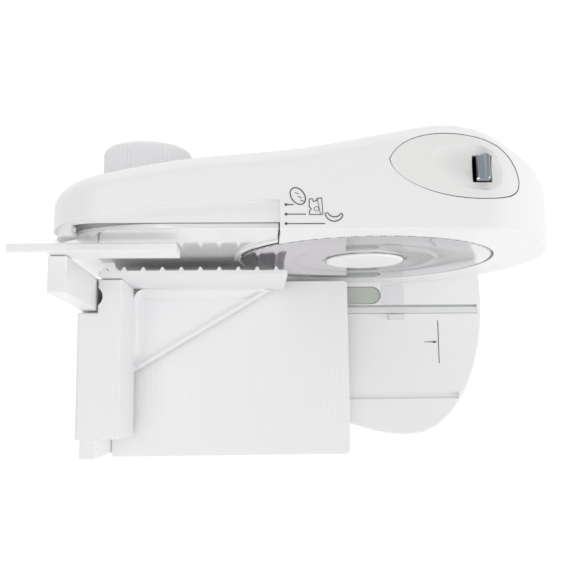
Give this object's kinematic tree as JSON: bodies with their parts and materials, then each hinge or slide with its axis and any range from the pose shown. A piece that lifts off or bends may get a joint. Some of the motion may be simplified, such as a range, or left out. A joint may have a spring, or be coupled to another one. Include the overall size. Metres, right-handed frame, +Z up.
{
  "type": "food slicer",
  "caption": "Domestic electric food slicer with a toothed disc blade, thickness plate, sliding carriage and remnant pusher.",
  "frame": {"origin": "on the table, under the centre of the machine's bounding box", "axes": "+X along the carriage's cutting stroke, +Y from the carriage side through the blade to the back, +Z up"},
  "size_m": [0.3366, 0.207, 0.2414],
  "materials": {
    "shell_plastic": "glossy white moulded plastic",
    "panel_plastic": "satin white insert",
    "carriage_plastic": "satin white moulded plastic",
    "pusher_plastic": "satin white moulded plastic",
    "gauge_plastic": "polished white plastic",
    "knob_plastic": "ribbed satin plastic",
    "grey_plastic": "light grey plastic",
    "dark_plastic": "dark moulded plastic",
    "gear_nylon": "natural nylon",
    "blade_steel": "mirror polished stainless steel",
    "steel": "plain machined steel",
    "rocker_chrome": "chrome plated plastic",
    "bush_brass": "turned bronze",
    "foot_rubber": "grey rubber"
  },
  "bodies": {
    "stand": {"housing": "shell_plastic", "rear_cover": "shell_plastic", "inlet_gland": "dark_plastic", "base": "shell_plastic", "foot_1": "foot_rubber", "foot_2": "foot_rubber", "foot_3": "foot_rubber", "foot_4": "foot_rubber", "guide_rail": "grey_plastic", "carriage_stop": "grey_plastic", "axle_bush": "bush_brass", "gear_plate": "steel", "motor_can": "steel", "bar_bracket": "gear_nylon", "switch_panel": "panel_plastic", "switch_module": "dark_plastic"},
    "disc": {"blade": "blade_steel", "blade_hub": "carriage_plastic", "worm_wheel": "gear_nylon", "blade_axle": "steel"},
    "rotor": {"armature": "steel", "fan": "gear_nylon"},
    "gauge": {"gauge_plate": "gauge_plastic", "gauge_carrier": "carriage_plastic", "guide_bar_1": "steel", "guide_bar_2": "steel"},
    "dial": {"thickness_knob": "knob_plastic", "knob_shaft": "steel", "knob_cam": "gear_nylon"},
    "rocker": {"switch_rocker": "rocker_chrome"},
    "carriage": {"carriage_tray": "carriage_plastic", "carriage_wall": "carriage_plastic", "guard_plate": "carriage_plastic", "runner_rear": "gear_nylon", "runner_front": "gear_nylon"},
    "holder": {"pusher": "pusher_plastic", "toothed_plate": "pusher_plastic"}
  },
  "joints": [
    {"name": "blade_spin", "type": "hinge", "parent": "stand", "child": "disc", "pos_m": [0.04866, 0.03167, 0.135], "axis": [0, 1, 0], "continuous": true},
    {"name": "motor_spin", "type": "hinge", "parent": "stand", "child": "rotor", "pos_m": [0.104, 0.06167, 0.093], "axis": [1, 0, 0], "continuous": true},
    {"name": "gauge_slide", "type": "slide", "parent": "stand", "child": "gauge", "axis": [0, 1, 0], "range_m": [0, 0.01]},
    {"name": "knob_turn", "type": "hinge", "parent": "stand", "child": "dial", "pos_m": [-0.09634, 0.03167, 0.16], "axis": [0, 1, 0], "range_deg": [0, 290]},
    {"name": "switch_rock", "type": "hinge", "parent": "stand", "child": "rocker", "pos_m": [0.10366, 0.06817, 0.232], "axis": [0, 1, 0], "range_deg": [0, 12]},
    {"name": "carriage_slide", "type": "slide", "parent": "stand", "child": "carriage", "axis": [1, 0, 0], "range_m": [-0.012, 0.145]},
    {"name": "holder_slide", "type": "slide", "parent": "carriage", "child": "holder", "axis": [0, 1, 0], "range_m": [-0.06, 0]}
  ],
  "couplings": [
    {"joint": "motor_spin", "follows": "blade_spin", "ratio": 40},
    {"joint": "knob_turn", "follows": "gauge_slide", "rad_per_m": 500}
  ]
}
